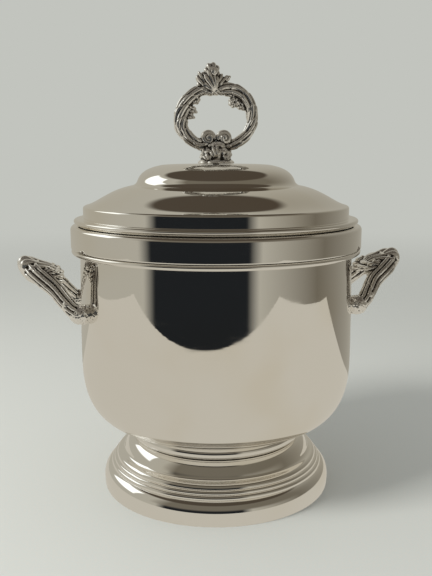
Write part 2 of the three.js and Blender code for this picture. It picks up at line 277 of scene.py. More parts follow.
def spun_unevenness(angle, height):
    """The slight unevenness of spun metal, from -1 to 1.

    It is three slow waves round the piece that drift with height.
    """
    return (
        0.5 * np.sin(3 * angle + height / 21)
        + 0.3 * np.sin(5 * angle - height / 13 + 1.7)
        + 0.2 * np.sin(11 * angle + height / 17 + 0.6)
    )


def turned(outline, sizes, round_edges=True, trim=None, uneven=True):
    """An outline in (radius, height) turned about +Z.

    The radius strays by the spun unevenness, less near the axis. trim(angle, height) gives a
    largest radius where the piece is cut out of round, as a nut is.
    """
    if round_edges:
        outline = soften(outline, sizes.edge_radius / MM)
    outline = evened(outline, sizes.outline_step / MM)
    angle = np.linspace(0, FULL_TURN, sizes.segments, endpoint=False)[None, :]
    radius = outline[:, :1] + 0 * angle
    height = outline[:, 1:] + 0 * angle
    if trim is not None:
        radius = np.minimum(radius, trim(angle, height))
    if uneven:
        stray = (sizes.unevenness / MM) * np.clip(outline[:, :1] / 40, 0, 1)
        radius = radius + stray * (spun_unevenness(angle, height) - 1)
    grid = np.stack([radius * np.cos(angle), radius * np.sin(angle), height], axis=-1)
    return closed_shell(grid, rows_close=True)


# ---------- shader nodes ----------


def add_node(tree, kind, settings=None, inputs=None):
    """Adds one node, sets its properties, and sets or links its named or numbered inputs."""
    made = tree.nodes.new("ShaderNode" + kind)
    for name, value in (settings or {}).items():
        setattr(made, name, value)
    for name, value in (inputs or {}).items():
        if isinstance(value, bpy.types.NodeSocket):
            tree.links.new(value, made.inputs[name])
        else:
            made.inputs[name].default_value = value
    return made


def new_material(name):
    """An empty node material and the Object coordinates that its patterns are laid out in."""
    material = bpy.data.materials.new(name)
    material.use_nodes = True
    material.node_tree.nodes.clear()
    place = add_node(material.node_tree, "TexCoord").outputs["Object"]
    return material, material.node_tree, place


def finish_with(tree, shader):
    """Joins a shader to the material's output."""
    add_node(tree, "OutputMaterial", inputs={"Surface": shader})


def rgba(colour):
    """A colour with full opacity."""
    return (*colour, 1.0)


def stretched(tree, place, per_metre):
    """Object coordinates scaled along X, Y and Z, in cycles per metre."""
    return add_node(
        tree, "Mapping", {"vector_type": "POINT"}, {"Vector": place, "Scale": per_metre},
    ).outputs["Vector"]


def noise(tree, vector, scale, detail, roughness=0.5):
    """The value of a noise texture from 0 to 1."""
    return add_node(
        tree, "TexNoise", {"noise_dimensions": "3D"},
        {"Vector": vector, "Scale": scale, "Detail": detail, "Roughness": roughness},
    ).outputs["Fac"]


def ranged(tree, value, low, high, new_low, new_high):
    """Maps a value from one range to another, smoothly and without leaving the new range."""
    return add_node(
        tree, "MapRange", {"interpolation_type": "SMOOTHSTEP"},
        {"Value": value, 1: low, 2: high, 3: new_low, 4: new_high},
    ).outputs["Result"]


def mixed(tree, share, first, second):
    """A blend of two colours by a share."""
    return add_node(
        tree, "Mix", {"data_type": "RGBA", "blend_type": "MIX"},
        {"Factor": share, 6: first, 7: second},
    ).outputs[2]


def calculated(tree, operation, first, second=0.0):
    """One arithmetic node's result."""
    return add_node(tree, "Math", {"operation": operation}, {0: first, 1: second}).outputs[0]


def polish_lines(tree, place, spacing):
    """Fine lines that run round a spun piece: noise long round the axis and short across it.

    It is laid out on the distance from the axis plus the height, so it follows walls and tops alike.
    """
    split = add_node(tree, "SeparateXYZ", inputs={0: place})
    flat = add_node(tree, "CombineXYZ", inputs={0: split.outputs[0], 1: split.outputs[1]})
    distance = add_node(tree, "VectorMath", {"operation": "LENGTH"}, {0: flat.outputs[0]})
    across = calculated(tree, "ADD", distance.outputs["Value"], split.outputs[2])
    lines = calculated(tree, "MULTIPLY", across, 1 / spacing)
    x = calculated(tree, "MULTIPLY", split.outputs[0], 14.0)
    y = calculated(tree, "MULTIPLY", split.outputs[1], 14.0)
    vector = add_node(tree, "CombineXYZ", inputs={0: x, 1: y, 2: lines}).outputs[0]
    return noise(tree, vector, 1.0, 3.0)


def silver_plate(colours):
    """Electroplated silver on spun brass, hand polished: a near mirror with fine lines round it,
    soft haze where it has been wiped, and a faint yellowing."""
    material, tree, place = new_material("silver_plate_polished")
    lines = polish_lines(tree, place, 1.1 * MM)
    wiped = noise(tree, stretched(tree, place, (22, 22, 60)), 1.0, 4.0, 0.6)
    aged = noise(tree, place, 18.0, 2.0)
    haze = ranged(tree, wiped, 0.45, 0.75, 0.012, 0.06)
    line_haze = ranged(tree, lines, 0.5, 0.8, 0.0, 0.03)
    roughness = calculated(tree, "ADD", haze, line_haze)
    yellow = ranged(tree, aged, 0.45, 0.75, 0.0, 0.45)
    colour = mixed(tree, yellow, rgba(colours.silver), rgba(colours.warm_silver))
    bump = add_node(
        tree, "Bump", inputs={"Strength": 0.03, "Distance": 0.05 * MM, "Height": lines},
    ).outputs["Normal"]
    shader = add_node(
        tree, "BsdfPrincipled",
        inputs={"Base Color": colour, "Metallic": 1.0, "Roughness": roughness, "Normal": bump},
    ).outputs["BSDF"]
    finish_with(tree, shader)
    return material


def cast_silver(colours):
    """Cast and plated ornament: bright on the high spots, with dark oxide left in the hollows and
    a fine pitted skin."""
    material, tree, place = new_material("cast_silver_oxidised")
    hollow = add_node(tree, "Attribute", {"attribute_name": "hollow"}).outputs["Fac"]
    patchy = noise(tree, place, 420.0, 3.0, 0.6)
    uneven = calculated(tree, "MULTIPLY", patchy, 0.35)
    depth = calculated(tree, "ADD", hollow, uneven)
    dark = ranged(tree, depth, 0.5, 1.05, 0.0, 0.95)
    colour = mixed(tree, dark, rgba(colours.silver), rgba(colours.oxide))
    # The high spots of a casting keep a satin skin, which scatters a little light of its own.
    plate = ranged(tree, depth, 0.3, 0.8, 0.93, 1.0)
    roughness = ranged(tree, depth, 0.4, 1.0, 0.05, 0.4)
    skin = noise(tree, place, 1500.0, 2.0)
    bump = add_node(
        tree, "Bump", inputs={"Strength": 0.15, "Distance": 0.08 * MM, "Height": skin},
    ).outputs["Normal"]
    shader = add_node(
        tree, "BsdfPrincipled",
        inputs={"Base Color": colour, "Metallic": plate, "Roughness": roughness, "Normal": bump},
    ).outputs["BSDF"]
    finish_with(tree, shader)
    return material


def zinc_steel(colours):
    """Zinc-plated mild steel fasteners: dull silvery blue with small spangles."""
    material, tree, place = new_material("zinc_plated_steel")
    spangle = add_node(tree, "TexVoronoi", inputs={"Vector": place, "Scale": 900.0})
    tint = ranged(tree, spangle.outputs["Distance"], 0.1, 0.7, 0.0, 0.35)
    colour = mixed(tree, tint, rgba(colours.zinc), rgba(linear("#9aa0a2")))
    roughness = ranged(tree, spangle.outputs["Distance"], 0.0, 0.8, 0.26, 0.42)
    shader = add_node(
        tree, "BsdfPrincipled",
        inputs={"Base Color": colour, "Metallic": 1.0, "Roughness": roughness},
    ).outputs["BSDF"]
    finish_with(tree, shader)
    return material


def pressed_glass(colours):
    """Clear pressed soda glass: smooth, with the slight ripple that a mould leaves."""
    material, tree, place = new_material("clear_pressed_glass")
    ripple = noise(tree, stretched(tree, place, (55, 55, 30)), 1.0, 2.0)
    bump = add_node(
        tree, "Bump", inputs={"Strength": 0.25, "Distance": 0.4 * MM, "Height": ripple},
    ).outputs["Normal"]
    shader = add_node(
        tree, "BsdfPrincipled",
        inputs={
            "Base Color": rgba(colours.glass), "Roughness": 0.03, "IOR": 1.52,
            "Transmission Weight": 1.0, "Normal": bump,
        },
    ).outputs["BSDF"]
    finish_with(tree, shader)
    return material


def matt_material(name, light, dark, grain, roughness, bump_depth):
    """A dull material with grains of one size in millimetres, mixed between two colours."""
    material, tree, place = new_material(name)
    cells = add_node(tree, "TexVoronoi", inputs={"Vector": place, "Scale": 1 / (grain * MM)})
    cloud = noise(tree, place, 0.3 / (grain * MM), 4.0, 0.65)
    tone = calculated(tree, "MULTIPLY", cells.outputs["Distance"], cloud)
    colour = mixed(tree, ranged(tree, tone, 0.1, 0.45, 0.0, 1.0), rgba(light), rgba(dark))
    bump = add_node(
        tree, "Bump",
        inputs={"Strength": 0.6, "Distance": bump_depth * MM, "Height": cells.outputs["Distance"]},
    ).outputs["Normal"]
    shader = add_node(
        tree, "BsdfPrincipled",
        inputs={"Base Color": colour, "Roughness": roughness, "Normal": bump},
    ).outputs["BSDF"]
    finish_with(tree, shader)
    return material


def seal_rubber(colours):
    """Black nitrile rubber: matt, with a fine dusty bloom."""
    return matt_material(
        "black_nitrile_rubber", colours.rubber, linear("#35332f"), 0.6, 0.75, 0.03,
    )


def insulation_foam(colours):
    """Pale polystyrene foam: round beads about 3 mm across, pressed together."""
    return matt_material("pale_bead_foam", colours.foam, linear("#cfc4a8"), 3.0, 0.9, 0.4)


def pressed_cork(colours):
    """Agglomerated cork: brown granules 2 to 3 mm across with darker bark between them."""
    return matt_material("agglomerated_cork", colours.cork, linear("#6f4c2a"), 2.4, 0.85, 0.3)


FINISHES = {
    "silver_plate": silver_plate,
    "cast_silver": cast_silver,
    "steel_hardware": zinc_steel,
    "liner_glass": pressed_glass,
    "gasket_rubber": seal_rubber,
    "insulation_foam": insulation_foam,
    "cork_pad": pressed_cork,
}


MADE_FINISHES = {}


def finish_for(slot, colours):
    """The finish of one of the record's material slots, made when it is first asked for."""
    if slot not in MADE_FINISHES:
        MADE_FINISHES[slot] = FINISHES[slot](colours)
    return MADE_FINISHES[slot]


# ---------- pieces ----------


def place_piece(context, name, mesh, node, body, slot):
    """Puts a finished mesh in the scene, in place of its CAD node and riding on the same body."""
    mesh.materials.append(finish_for(slot, context.scene.ice_bucket_colours))
    piece = bpy.data.objects.new(name, mesh)
    context.scene.collection.objects.link(piece)
    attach(piece, body)
    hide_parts(node)
    return piece


def place_turned(context, name, outline, node, body, slot, **options):
    """Turns an outline about Z and hands the piece over."""
    shell = turned(outline, context.scene.ice_bucket_sizes, **options)
    return place_piece(context, name, mesh_from(name, *shell), node, body, slot)


def bowl_curve(radius, bottom, top, inset):
    """The bowl's outline from floor to top edge, moved in by a thickness.

    A superellipse, |x/a|^n + |z/b|^n = 1, joins the flat floor to the nearly upright wall.
    """
    corner_top, corner_width, power = 87.5, 42.3, 2.9
    angle = np.radians(np.linspace(90, 0, 56))
    across = np.cos(angle) ** (2 / power)
    down = np.sin(angle) ** (2 / power)
    corner = np.column_stack([
        radius - inset - corner_width * (1 - across),
        corner_top - (corner_top - bottom - inset) * down,
    ])
    wall = bezier([corner[-1], (radius - inset, 120.0), (radius - inset - 1.0, top)], 24)
    return np.vstack([corner, wall[1:]])


def bowl_outline(wall):
    """The bowl's outer curve, the same curve a wall's thickness inside, and the bolt's hole."""
    radius, bottom, top = extent("outer_shell")
    bolt_hole = 4.3
    outside = bowl_curve(radius, bottom, top, 0)
    inside = bowl_curve(radius, bottom, top, wall)[::-1]
    hole = [(bolt_hole, bottom + wall), (bolt_hole, bottom)]
    return np.vstack([hole[1:], outside, inside, hole[:1]])


def collar_outline():
    """A rounded band with a ledge inside that carries the liner's flange."""
    radius, bottom, top = extent("rim_collar")
    bore, ledge_bore, ledge_top, web_bottom = 81.5, 78.2, 158.2, 154.0
    skirt, edge = 2.6, 2.4
    return np.vstack([
        [(ledge_bore, web_bottom), (radius - skirt, web_bottom), (radius - skirt, bottom)],
        bezier([(radius - 0.5, bottom), (radius, bottom), (radius, bottom + 0.7)], 7),
        arc((radius - edge, top - edge), edge, 0, 90, 14),
        [(bore, top), (bore, ledge_top), (ledge_bore, ledge_top)],
    ])


def collar_bead_outline():
    """A half-round wire that lies on the collar."""
    radius, bottom, top = extent("collar_bead")
    half = (top - bottom) / 2
    wire = arc((radius - half, bottom + half), half, -90, 90, 20)
    return np.vstack([[(83.1, bottom)], wire, [(83.1, top)]])


def neck_outline():
    """A ring whose outside bellies between a wide foot and a narrow top."""
    _, bottom, top = extent("neck_ring")
    bore = 45.0
    belly = bezier([(52.4, bottom), (55.2, bottom + 0.8), (54.6, top - 1.1), (50.4, top)], 20)
    return np.vstack([[(bore, bottom)], belly, [(bore, top)]])


def foot_outline():
    """A flat top, a rounded shoulder, a hollow, two fine ridges and a broad rolled rim."""
    rim, bottom, top = extent("foot")
    plate, bolt_hole = 1.7, 4.3
    return np.vstack([
        [(bolt_hole, top)],
        bezier([(51.0, top), (53.8, top), (56.4, 28.6), (58.2, 23.6)], 24),
        bezier([(58.2, 23.6), (58.8, 21.9), (61.0, 21.6)], 12),
        bezier([(61.0, 21.6), (63.2, 21.3), (63.6, 18.6)], 12),
        bezier([(63.6, 18.6), (65.2, 18.4), (65.3, 16.4)], 10),
        bezier([(65.3, 16.4), (66.8, 16.1), (66.9, 13.9)], 10),
        bezier([(66.9, 13.9), (69.6, 12.8), (72.0, 8.6), (rim, 3.0)], 30),
        bezier([(rim, 3.0), (rim, 0.7), (70.8, bottom)], 14),
        [(66.4, bottom), (67.4, 5.0)],
        bezier([(67.4, 5.0), (67.4, 11.6), (61.8, 12.6)], 12),
        [(60.4, 18.4)],
        bezier([(60.4, 18.4), (55.6, 21.0), (55.4, 27.0)], 12),
        [(51.6, top - plate), (bolt_hole, top - plate)],
    ])


def lid_outline():
    """A rolled lip, an upright band, a crisp shoulder, a soft double curve and a raised cap."""
    lip_radius, seat, top = extent("lid_shell")
    band, skin, screw_hole, lip, rebate = 80.3, 1.6, 2.6, 1.25, 81.6
    return np.vstack([
        [(rebate, seat), (84.0, seat)],
        arc((lip_radius - lip, seat + 0.9 + lip), lip, -90, 90, 16),
        [(band, seat + 3.4), (band, 173.8)],
        bezier([(band, 173.8), (band, 175.0), (79.0, 175.3)], 8),
        bezier([(79.0, 175.3), (71.0, 177.4), (65.0, 184.6), (50.6, 187.1)], 40),
        bezier([(50.6, 187.1), (48.3, 187.9), (47.5, 190.2)], 12),
        bezier([(47.5, 190.2), (45.6, 195.4), (40.5, 197.9), (32.5, 199.3)], 30),
        bezier([(32.5, 199.3), (27.0, top), (22.0, top)], 10),
        [(screw_hole, top), (screw_hole, top - skin), (34.0, top - skin - 0.8)],
        bezier([(34.0, top - skin - 0.8), (42.4, 196.0), (45.0, 190.6)], 12),
        bezier([(45.0, 190.6), (46.0, 187.2), (49.8, 185.5)], 12),
        bezier([(49.8, 185.5), (64.0, 182.8), (70.0, 175.8), (band - skin - 0.4, 173.4)], 24),
        [(band - skin, 172.6), (band - skin, seat + 2.0), (rebate, seat + 1.6)],
    ])


def lid_pan_outline():
    """A thin dish that steps down into the liner's mouth."""
    radius, bottom, top = extent("lid_inner_pan")
    skin, plug_radius, shoulder = 1.2, 70.0, 164.5
    return np.array([
        (0, bottom), (plug_radius, bottom), (radius, shoulder), (radius, top),
        (radius - skin, top), (radius - skin, shoulder + skin),
        (plug_radius, bottom + skin), (0, bottom + skin),
    ])


def liner_outline():
    """A straight tumbler with a rounded foot and a flange that hangs on the collar's ledge."""
    flange, bottom, top = extent("liner")
    radius, wall, corner, flange_bottom = 74.0, 3.0, 14.0, 159.9
    centre = (radius - corner, bottom + corner)
    return np.vstack([
        [(0, bottom)],
        arc(centre, corner, -90, 0, 24),
        [(radius, flange_bottom), (flange, flange_bottom), (flange, top), (radius - wall, top)],
        arc(centre, corner - wall, 0, -90, 24),
        [(0, bottom + wall)],
    ])


def ring_outline(node, bore):
    """A plain ring of square section."""
    radius, bottom, top = extent(node)
    return np.array([(bore, bottom), (radius, bottom), (radius, top), (bore, top)])


def cork_outline():
    """A flat ring whose lower edge slopes in."""
    radius, bottom, top = extent("insulation_base")
    bore = 17.0
    return np.array([
        (bore, bottom), (radius - 7, bottom), (radius, bottom + 2.5), (radius, top), (bore, top),
    ])


def lid_foam_outline():
    """A disc whose top slopes up to a smaller flat."""
    radius, bottom, top = extent("lid_insulation")
    return np.array([(0, bottom), (radius, bottom), (radius, 171.6), (48, top), (0, top)])


# ---------- fasteners ----------


def hexagon(across_corners, face_low, face_high):
    """A trim that cuts a turned blank to a chamfered hexagon between two heights.

    The distance to a flat is the apothem over the cosine of the angle from the flat's middle. The
    chamfer is a cone that leaves a round face at both ends.
    """
    apothem = across_corners * np.cos(np.pi / 6)

    def trim(angle, height):
        from_flat = (angle + np.pi / 6) % (np.pi / 3) - np.pi / 6
        flat = apothem / np.cos(from_flat)
        to_face = np.minimum(height - face_low, face_high - height)
        cone = apothem * 0.97 + 1.7 * np.maximum(to_face, 0)
        between = (height >= face_low - 1e-6) & (height <= face_high + 1e-6)
        return np.where(between, np.minimum(flat, cone), across_corners)

    return trim


def threaded(radius, pitch, low, high):
    """A trim that cuts a thread.

    The depth is a triangle wave of the height less the turn's share of a pitch.
    """
    depth = 0.55 * pitch

    def trim(angle, height):
        phase = (height / pitch - angle / FULL_TURN) % 1
        cut = depth * (1 - np.abs(2 * phase - 1))
        inside = (height > low) & (height < high)
        return np.where(inside, radius - cut, 1e3)

    return trim


def both(first, second):
    """A trim that leaves the smaller of the radii that two trims leave."""
    return lambda angle, height: np.minimum(first(angle, height), second(angle, height))


def bolt_outline():
    """A shank under a round blank for the head."""
    head_radius, bottom, top = extent("foot_bolt")
    shank, head_height = 3.9, 4.0
    return np.array([
        (0, bottom), (shank - 0.6, bottom), (shank, bottom + 0.6), (shank, top - head_height),
        (head_radius, top - head_height), (head_radius, top), (0, top),
    ])


def screw_outline():
    """A shank over a domed head."""
    head_radius, bottom, top = extent("finial_screw")
    shank, head_height = 2.2, 3.0
    head = bezier([(head_radius, bottom + head_height), (head_radius, bottom), (0, bottom)], 12)
    return np.vstack([
        [(0, top), (shank, top), (shank, bottom + head_height)], head,
    ])[::-1]


# ---------- castings ----------


def ease(value, low, high):
    """Rises smoothly from 0 to 1 between two values."""
    t = np.clip((value - low) / (high - low), 0, 1)
    return t * t * (3 - 2 * t)


def swept(path, facing, half_sizes, relief, columns=56, blunt=0.05):
    """A rounded section carried along a path and closed at both ends.

    half_sizes(share) gives the section's half width in the path's plane and its half depth out of
    it, relief(share, angle) swells both, and the ends close as a quarter circle over a share of
    the path.
    """
    share = np.linspace(0, 1, len(path))[:, None]
    angle = np.linspace(0, FULL_TURN, columns, endpoint=False)[None, :]
    along = np.gradient(path, axis=0)
    along /= np.linalg.norm(along, axis=1)[:, None]
    facing = np.asarray(facing, float)
    out = facing - (along @ facing)[:, None] * along
    out /= np.linalg.norm(out, axis=1)[:, None]
    across = np.cross(out, along)
    to_end = np.clip(np.minimum(share, 1 - share) / blunt, 0, 1)
    closing = np.sqrt(np.clip(1 - (1 - to_end) ** 2, 0, 1))
    wide, deep = half_sizes(share)
    swell = relief(share, angle) * closing
    grid = (
        path[:, None]
        + across[:, None] * (wide * swell * np.cos(angle))[..., None]
        + out[:, None] * (deep * swell * np.sin(angle))[..., None]
    )
    return closed_shell(grid, rows_close=False)


def lobed(half_sizes, centre, relief, tilt=0.0, rows=72, columns=96, bend=None):
    """A sphere stretched to three half sizes, swollen by relief(x, y, z) of the unit sphere's point.

    bend(points) may then shift the points. The form is tilted about Y, its +X end upwards, and
    moved to its centre.
    """
    polar = np.linspace(0, np.pi, rows)[:, None]
    angle = np.linspace(0, FULL_TURN, columns, endpoint=False)[None, :]
    unit = np.stack(
        [np.sin(polar) * np.cos(angle), np.sin(polar) * np.sin(angle), np.cos(polar) + 0 * angle],
        axis=-1,
    )
    grid = unit * np.asarray(half_sizes) * relief(*np.moveaxis(unit, -1, 0))[..., None]
    if bend is not None:
        grid = bend(grid)
    c, s = np.cos(tilt), np.sin(tilt)
    turn = np.array([(c, 0, -s), (0, 1, 0), (s, 0, c)])
    return closed_shell(grid @ turn.T + np.asarray(centre), rows_close=False)


def leafy_ribs(ribs, rib_depth, twist, leaves, leaf_depth):
    """A relief for a swept arm: sharp-grooved ribs that wind slowly round it, and slanting leaves.

    A rib is the size of a cosine, so the groove beside it is sharp. Each leaf swells along the arm
    and drops to the next one along a slanting line.
    """

    def relief(share, angle):
        wound = angle + twist * np.sin(FULL_TURN * share)
        rib = rib_depth * (np.abs(np.cos(ribs * wound / 2)) ** 0.8 - 0.7)
        stage = (leaves * share + 0.9 * np.abs(np.sin(angle / 2 + 0.6))) % 1
        return 1 + rib + leaf_depth * (stage - 0.5)

    return relief


def petals(count, depth):
    """A relief for a bud facing Y: petals round it and a dimple in the middle."""

    def relief(x, y, z):
        from_middle = np.hypot(x, z)
        turn = np.arctan2(z, x)
        petal = depth * np.abs(np.cos(count * turn / 2)) * ease(from_middle, 0.15, 0.6)
        return 0.98 - depth + petal - 0.12 * ease(0.34 - from_middle, 0, 0.2)

    return relief


def spiral(side):
    """A relief for a scroll's eye facing Y: a ridge that winds out from the middle."""

    def relief(x, y, z):
        from_middle = np.hypot(x, z)
        turn = np.arctan2(z, side * x)
        wave = np.cos(turn - FULL_TURN * 1.35 * from_middle)
        return 0.93 + 0.10 * wave * ease(from_middle, 0.1, 0.4)

    return relief


def fan(focus, count, depth):
    """A relief for a leaf or shell: ribs that spread from a focus (u, v) in its own plane X, Z."""

    def relief(x, y, z):
        spread = np.arctan2(x - focus[0], z - focus[1])
        rib = np.abs(np.cos(count * spread)) ** 0.8
        away = ease(np.hypot(x - focus[0], z - focus[1]), 0.15, 0.8)
        return 1 - depth + depth * (rib * away + (1 - away) * 0.6)

    return relief


def shell_leaf(count, depth):
    """A relief for the broad leaf at a handle's end, its ribs spreading from the handle's side."""

    def relief(x, y, z):
        spread = np.arctan2(y, x + 1.25)
        rib = np.abs(np.cos(count * spread)) ** 0.7
        return 1 - depth + depth * rib * ease(x, -0.95, -0.3) + 0.5 * depth * ease(-x, 0.3, 0.95)

    return relief


def grained(x, y, z):
    """A relief of small rounded grains, from three crossed waves."""
    return 0.92 + 0.08 * np.cos(15 * x + 6 * z) * np.cos(14 * y - 5 * x) * np.cos(13 * z + 7 * y)


def lobed_cup(outline, lobes, depth, columns=160):
    """An outline turned about Z whose radius swells into upright lobes, strongest where it is widest."""
    angle = np.linspace(0, FULL_TURN, columns, endpoint=False)[None, :]
    radius, height = outline[:, :1], outline[:, 1:]
    lobe = np.abs(np.cos(lobes * angle / 2)) ** 0.7
    strength = depth * ease(radius, 2.0, 7.0)
    swollen = radius * (1 - strength + strength * lobe)
    grid = np.stack(
        [swollen * np.cos(angle), swollen * np.sin(angle), height + 0 * angle], axis=-1,
    )
    return closed_shell(grid, rows_close=False)


def blurred(values, edges, count, passes):
    """Replaces each point's value by the mean of its neighbours' values, several times over."""
    neighbours = np.bincount(edges.ravel(), minlength=count)[:, None]
    for _ in range(passes):
        total = np.zeros_like(values)
        for near, far in (edges.T, edges[:, ::-1].T):
            total += np.column_stack([
                np.bincount(near, weights=values[far, k], minlength=count)
                for k in range(values.shape[1])
            ])
        values = total / neighbours
    return values


def store_hollows(mesh, reach, full_depth):
    """Stores how deep each point lies in a hollow, from 0 to 1, as the point attribute "hollow".

    The depth is the distance along the normal from the point to the mean of its neighbourhood.
    """
    count = len(mesh.vertices)
    points = np.empty(count * 3)
    normals = np.empty(count * 3)
    edges = np.empty(len(mesh.edges) * 2, np.int32)
    mesh.vertices.foreach_get("co", points)
    mesh.vertices.foreach_get("normal", normals)
    mesh.edges.foreach_get("vertices", edges)
    points, normals, edges = points.reshape(-1, 3), normals.reshape(-1, 3), edges.reshape(-1, 2)
    depth = np.zeros(count)
    for passes in (reach, 5 * reach):
        around = blurred(points, edges, count, passes)
        depth += np.sum((around - points) * normals, axis=1) / (full_depth * MM)
    attribute = mesh.attributes.new("hollow", "FLOAT", "POINT")
    attribute.data.foreach_set("value", np.clip(depth, 0, 1).astype(np.float32))


def cast_in_one(name, shells, voxel):
    """Fuses overlapping closed shells with a voxel remesh, eases the skin and marks its hollows."""
    rough = mesh_from(name + "_rough", *joined(shells))
    carrier = bpy.data.objects.new(name + "_rough", rough)
    bpy.context.scene.collection.objects.link(carrier)
    remesh = carrier.modifiers.new("fuse", "REMESH")
    remesh.mode = "VOXEL"
    remesh.voxel_size = voxel
    easing = carrier.modifiers.new("ease", "SMOOTH")
    easing.factor = 0.5
    easing.iterations = 2
    evaluated = carrier.evaluated_get(bpy.context.evaluated_depsgraph_get())
    mesh = bpy.data.meshes.new_from_object(evaluated)
    mesh.name = name
    bpy.data.objects.remove(carrier)
    bpy.data.meshes.remove(rough)
    mesh.shade_smooth()
    store_hollows(mesh, reach=4, full_depth=0.16)
    return mesh


def finial_shells():
    """The ring, its scrolls and buds, the leaf crest and the leaf cup, as overlapping closed shells.

    The ring stands in the XZ plane. Places are worked out from the finial's own box.
    """
    low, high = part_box("finial")
    base, top = low.z / MM, high.z / MM
    upright = (0, 1, 0)
    right_arm = [
        (3.0, 11.5), (7.5, 10.9), (12.6, 12.3), (18.0, 16.3), (21.5, 21.8), (22.2, 27.5),
        (20.8, 33.6), (17.0, 38.7), (11.8, 42.2), (6.0, 43.8), (0.0, 43.4),
    ]
    left_arm = [
        (-3.0, 11.5), (-7.5, 10.9), (-12.6, 12.4), (-17.8, 16.5), (-21.0, 21.8), (-21.0, 28.0),
        (-19.2, 34.0), (-15.6, 39.0), (-11.0, 42.2), (-5.5, 43.4), (0.5, 43.4),
    ]
    shells = []
    for arm, slim, swell_at, swell in ((right_arm, 3.1, 0.75, 0.42), (left_arm, 3.2, 0.5, 0.30)):
        points = np.array([(x, 0, base + z) for x, z in arm])

        def half_sizes(share, slim=slim, swell_at=swell_at, swell=swell):
            bulge = 1 + swell * np.exp(-(((share - swell_at) / 0.2) ** 2))
            return slim * bulge, 3.5 * (0.7 + 0.3 * bulge)

        ribs = leafy_ribs(ribs=7, rib_depth=0.24, twist=0.9, leaves=8, leaf_depth=0.12)
        shells.append(swept(smooth_path(points, 300), upright, half_sizes, ribs, columns=96))
    scroll_height = base + 15.0
    for side in (-1, 1):
        eye = (side * 4.9, 0, scroll_height)
        shells.append(lobed((5.0, 4.3, 5.0), eye, spiral(side), rows=96, columns=128))
    buds = [
        ((3.7, 3.5, 3.7), (10.8, 0, base + 36.2), petals(7, 0.2), 0.0),
        ((4.2, 2.8, 2.6), (14.6, 0, base + 34.6), petals(5, 0.2), -0.9),
        ((3.2, 3.1, 3.2), (-12.4, 0, base + 37.4), petals(6, 0.2), 0.0),
        ((4.4, 2.9, 2.6), (-14.9, 0, base + 31.8), petals(5, 0.24), -0.5),
        ((3.8, 2.5, 2.1), (-16.0, 0, base + 28.0), petals(4, 0.24), -0.35),
    ]
    for half, centre, relief, tilt in buds:
        shells.append(lobed(half, centre, relief, tilt=tilt))

    # The crest: a curled tip over four leaves, on a ruffled base.
    tip = top - 5.3
    shells.append(lobed((5.0, 3.9, 5.3), (-2.4, 0, tip), fan((0.2, -1.1), 8, 0.2)))
    for face in (-1, 1):
        shells.append(lobed((3.0, 1.9, 3.0), (-1.9, face * 2.7, tip - 0.4), spiral(1)))
        shells.append(lobed(
            (4.9, 2.5, 7.6), (-3.2, face * 2.3, base + 47.4), fan((0.5, -1.0), 9, 0.26),
            tilt=0.12,
        ))
    shells.append(lobed((3.9, 3.3, 7.6), (-8.0, 0, base + 46.8), fan((0.6, -1.0), 9, 0.26), tilt=0.3))
    shells.append(lobed((3.7, 3.1, 6.6), (1.6, 0, base + 46.6), fan((-0.6, -1.0), 9, 0.26), tilt=-0.28))
    shells.append(lobed((8.8, 4.4, 3.2), (-3.4, 0, base + 42.6), petals(12, 0.2)))
    shells.append(lobed((2.8, 1.6, 1.9), (6.6, 0, base + 50.0), petals(4, 0.24), tilt=0.5))
    shells.append(lobed((1.2, 1.2, 3.8), (5.0, 0, base + 47.4), grained, tilt=-0.5))
    for number in range(8):
        turn = FULL_TURN * (number + 0.3 * np.sin(5 * number)) / 8
        low_leaf = number % 2
        place = (
            (6.3 + 1.1 * low_leaf) * np.cos(turn), (6.3 + 1.1 * low_leaf) * np.sin(turn),
            base + 6.4 - 3.0 * low_leaf,
        )
        shells.append(lobed(
            (3.6, 3.4, 4.6 - 1.6 * low_leaf), place, fan((0.3 * np.cos(3 * turn), -1.0), 7, 0.28),
            tilt=0.35 * np.cos(turn),
        ))
    cup = np.vstack([
        [(0, 0)],
        bezier([(10.9, 0), (11.6, 0.3), (11.2, 1.4), (9.9, 1.9)], 10),
        bezier([(9.9, 1.9), (8.0, 3.0), (9.2, 5.4), (8.8, 7.0)], 14),
        bezier([(8.8, 7.0), (8.4, 8.4), (6.6, 8.6), (6.6, 10.0)], 10),
        bezier([(6.6, 10.0), (6.8, 12.2), (4.0, 13.2), (0, 13.4)], 12),
    ])
    shells.append(lobed_cup(cup + (0, base), lobes=7, depth=0.1))
    return shells


